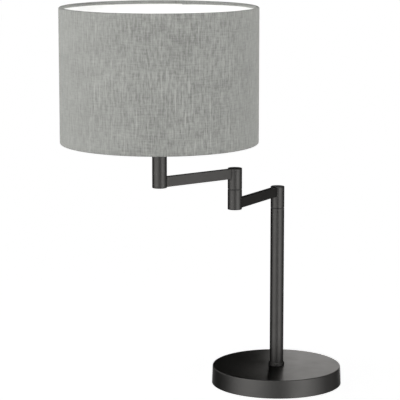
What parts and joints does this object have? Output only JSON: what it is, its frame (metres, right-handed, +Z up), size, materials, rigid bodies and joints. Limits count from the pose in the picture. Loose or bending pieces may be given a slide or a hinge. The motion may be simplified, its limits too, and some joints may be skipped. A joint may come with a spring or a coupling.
{
  "type": "swing arm desk lamp",
  "caption": "Desk lamp with a weighted round base, a pole, two level arms on upright swivels, a drum fabric shade and a push-bar switch on its lamp holder",
  "frame": {"origin": "on the surface that the lamp stands on, below the pole's axis", "axes": "+Z up along the pole; +X to the lamp's right; +Y to its back, where the cord enters; the arms reach towards -Y"},
  "size_m": [0.4266, 0.4726, 0.6227],
  "materials": {
    "satin_bronze_black": "satin powder coat, bronze black",
    "cast_iron": "raw casting",
    "zinc_steel": "zinc plated",
    "turned_steel": "turned bright steel",
    "nylon": "black nylon",
    "pad_felt": "dense felt pad",
    "black_rubber": "moulded rubber",
    "terminal_plastic": "moulded terminal block",
    "lead_sleeve": "white glass-fibre sleeve",
    "holder_plastic": "moulded black thermoset",
    "switch_plastic": "moulded black switch bar",
    "holder_ceramic": "glazed porcelain",
    "contact_brass": "pressed brass",
    "white_wire": "white coated wire",
    "lining_white": "white shade laminate",
    "linen_grey": "grey linen weave",
    "bulb_metal": "pressed aluminium",
    "bulb_insulation": "black vitrite",
    "frosted_glass": "frosted white"
  },
  "bodies": {
    "stand": {"base_pad": "pad_felt", "base_plate": "zinc_steel", "plate_screws": "zinc_steel", "base_weight": "cast_iron", "base_cover": "satin_bronze_black", "cord_grommet": "black_rubber", "terminal_block": "terminal_plastic", "block_screw": "zinc_steel", "stud_nut": "zinc_steel", "stud_lock_washer": "zinc_steel", "stud_washer": "zinc_steel", "pole_stud": "zinc_steel", "pole_collar": "satin_bronze_black", "pole_foot_plug": "zinc_steel", "pole_tube": "satin_bronze_black", "pole_head_plug": "zinc_steel", "pole_spindle": "turned_steel", "pole_stop_pin": "zinc_steel", "base_lead": "lead_sleeve", "knuckle_thrust_washer": "nylon", "knuckle_friction_washers": "zinc_steel", "knuckle_disc_springs": "turned_steel", "knuckle_nut": "zinc_steel"},
    "lower_arm": {"knuckle_barrel": "satin_bronze_black", "knuckle_cap": "satin_bronze_black", "lower_arm": "satin_bronze_black", "elbow_lower_barrel": "satin_bronze_black", "elbow_bottom_cap": "satin_bronze_black", "elbow_spindle": "turned_steel", "elbow_stop_pin": "zinc_steel", "lower_arm_lead": "lead_sleeve", "elbow_thrust_washer": "nylon", "elbow_friction_washers": "zinc_steel", "elbow_disc_springs": "turned_steel", "elbow_nut": "zinc_steel"},
    "upper_arm": {"elbow_upper_barrel": "satin_bronze_black", "elbow_cap": "satin_bronze_black", "upper_arm": "satin_bronze_black", "riser_bottom_cap": "satin_bronze_black", "riser_tube": "satin_bronze_black", "riser_top_plug": "zinc_steel", "holder_nipple": "zinc_steel", "holder_cap": "holder_plastic", "switch_block": "holder_plastic", "holder_core": "holder_ceramic", "screw_shell": "contact_brass", "centre_contact": "contact_brass", "holder_shell": "holder_plastic", "shade_rings": "holder_plastic", "shade_spider": "white_wire", "shade_bottom_ring": "white_wire", "shade_top_ring": "white_wire", "shade_lining": "lining_white", "shade_cover": "linen_grey", "bulb_contact": "bulb_metal", "bulb_insulator": "bulb_insulation", "bulb_cap": "bulb_metal", "bulb_glass": "frosted_glass", "upper_arm_lead": "lead_sleeve"},
    "switch": {"switch_bar": "switch_plastic"}
  },
  "joints": [
    {"name": "pole_swivel", "type": "hinge", "parent": "stand", "child": "lower_arm", "pos_m": [0, 0, 0.2877], "axis": [0, 0, 1], "range_deg": [-132.9, 187.1]},
    {"name": "elbow_swivel", "type": "hinge", "parent": "lower_arm", "child": "upper_arm", "pos_m": [-0.06537, -0.12775, 0.3381], "axis": [0, 0, 1], "range_deg": [-142.2, 187.8]},
    {"name": "switch_push", "type": "slide", "parent": "upper_arm", "child": "switch", "axis": [-1, 0, 0], "range_m": [0, 0.006]}
  ]
}
